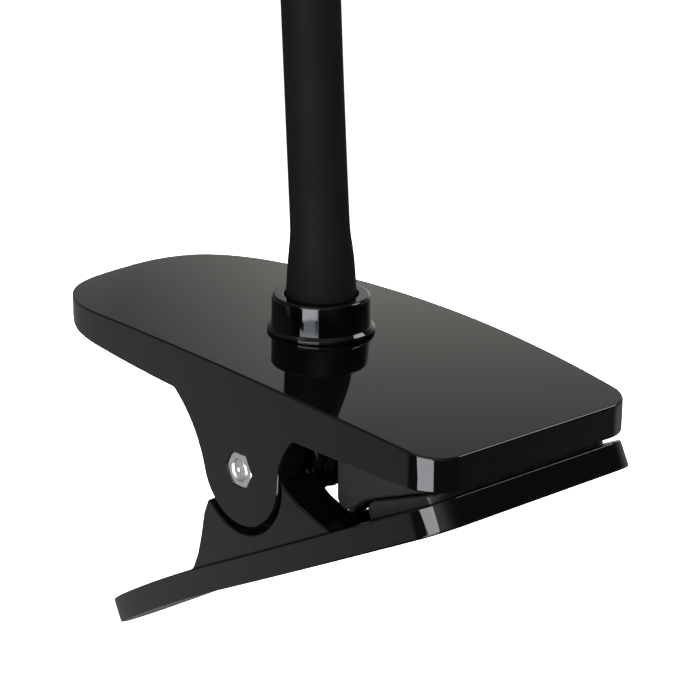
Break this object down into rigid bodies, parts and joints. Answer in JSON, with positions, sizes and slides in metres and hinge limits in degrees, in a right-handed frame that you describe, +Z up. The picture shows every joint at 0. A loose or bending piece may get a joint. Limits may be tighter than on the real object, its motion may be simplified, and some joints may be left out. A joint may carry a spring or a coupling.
{
  "type": "clip-on airbrush holder stand",
  "caption": "Sprung table clamp with a sleeved gooseneck and a tilting head whose two open cradles hold an airbrush.",
  "frame": {"origin": "middle of the grip pads' meeting plane with the jaws closed, where the table edge is held", "axes": "+Z up along the neck's foot, +X out of the jaws' mouth, +Y across the jaws towards the pivot bolt's head"},
  "size_m": [0.1694, 0.0718, 0.461],
  "materials": {
    "jaw_plastic": "high gloss black",
    "pad_rubber": "matte grey",
    "zinc_steel": "bright zinc",
    "turned_steel": "turned",
    "conduit_steel": "satin",
    "spring_steel": "black, satin",
    "black_gloss_metal": "high gloss black",
    "sleeve_rubber": "matte black",
    "nylon": "natural, satin",
    "head_plastic": "satin gloss black",
    "brass": "turned",
    "liner_rubber": "matte black"
  },
  "bodies": {
    "clamp": {"upper_jaw": "jaw_plastic", "upper_pad": "pad_rubber", "pivot_bolt": "zinc_steel", "pivot_nut": "zinc_steel", "spacer_tube": "turned_steel", "torsion_spring": "spring_steel", "base_washer": "black_gloss_metal", "collar": "black_gloss_metal", "neck_socket": "turned_steel", "lock_washer": "zinc_steel", "lock_nut": "zinc_steel", "neck_core_1": "conduit_steel", "neck_sleeve_1": "sleeve_rubber"},
    "lower_jaw": {"lower_jaw": "jaw_plastic", "lower_pad": "pad_rubber"},
    "neck_2": {"neck_core_2": "conduit_steel", "neck_sleeve_2": "sleeve_rubber"},
    "neck_3": {"neck_core_3": "conduit_steel", "neck_sleeve_3": "sleeve_rubber"},
    "neck_4": {"neck_core_4": "conduit_steel", "neck_sleeve_4": "sleeve_rubber"},
    "neck_5": {"neck_core_5": "conduit_steel", "neck_sleeve_5": "sleeve_rubber"},
    "neck_6": {"neck_core_6": "conduit_steel", "neck_sleeve_6": "sleeve_rubber"},
    "neck_7": {"neck_core_7": "conduit_steel", "neck_sleeve_7": "sleeve_rubber", "top_ferrule": "black_gloss_metal", "swivel_post": "zinc_steel", "swivel_washer": "nylon", "swivel_nut": "zinc_steel"},
    "head": {"head_yoke": "head_plastic", "tilt_bolt": "zinc_steel", "tilt_washers": "nylon"},
    "knob": {"tilt_knob": "head_plastic", "knob_insert": "brass"},
    "holder": {"holder_rail": "head_plastic", "front_cradle": "head_plastic", "rear_cradle": "head_plastic", "front_liner": "liner_rubber", "rear_liner": "liner_rubber", "cradle_screws": "zinc_steel"}
  },
  "joints": [
    {"name": "jaw_hinge", "type": "hinge", "parent": "clamp", "child": "lower_jaw", "pos_m": [-0.0495, 0, -0.0073], "axis": [0, 1, 0], "range_deg": [0, 49], "stiffness_Nm_per_rad": 1.5, "springref_deg": -45.84, "deforming": ["torsion_spring"]},
    {"name": "neck_bend_1", "type": "hinge", "parent": "clamp", "child": "neck_2", "pos_m": [-0.06493, 0, 0.0769], "axis": [0, 1, 0], "range_deg": [-30, 30]},
    {"name": "neck_bend_2", "type": "hinge", "parent": "neck_2", "child": "neck_3", "pos_m": [-0.06749, 0, 0.11882], "axis": [1, 0, 0], "range_deg": [-30, 30]},
    {"name": "neck_bend_3", "type": "hinge", "parent": "neck_3", "child": "neck_4", "pos_m": [-0.06823, 0, 0.16081], "axis": [0, 1, 0], "range_deg": [-30, 30]},
    {"name": "neck_bend_4", "type": "hinge", "parent": "neck_4", "child": "neck_5", "pos_m": [-0.0653, 0, 0.20271], "axis": [1, 0, 0], "range_deg": [-30, 30]},
    {"name": "neck_bend_5", "type": "hinge", "parent": "neck_5", "child": "neck_6", "pos_m": [-0.058, 0, 0.24407], "axis": [0, 1, 0], "range_deg": [-30, 30]},
    {"name": "neck_bend_6", "type": "hinge", "parent": "neck_6", "child": "neck_7", "pos_m": [-0.04643, 0, 0.28445], "axis": [1, 0, 0], "range_deg": [-30, 30]},
    {"name": "head_swivel", "type": "hinge", "parent": "neck_7", "child": "head", "pos_m": [-0.0217, 0, 0.34564], "axis": [0.3746, 0, 0.9272], "range_deg": [-180, 180]},
    {"name": "holder_tilt", "type": "hinge", "parent": "head", "child": "holder", "pos_m": [-0.0217, 0, 0.34564], "axis": [0, 1, 0], "range_deg": [-65, 110]},
    {"name": "knob_turn", "type": "hinge", "parent": "head", "child": "knob", "pos_m": [-0.0217, 0, 0.34564], "axis": [0, 1, 0], "range_deg": [0, 360]}
  ]
}
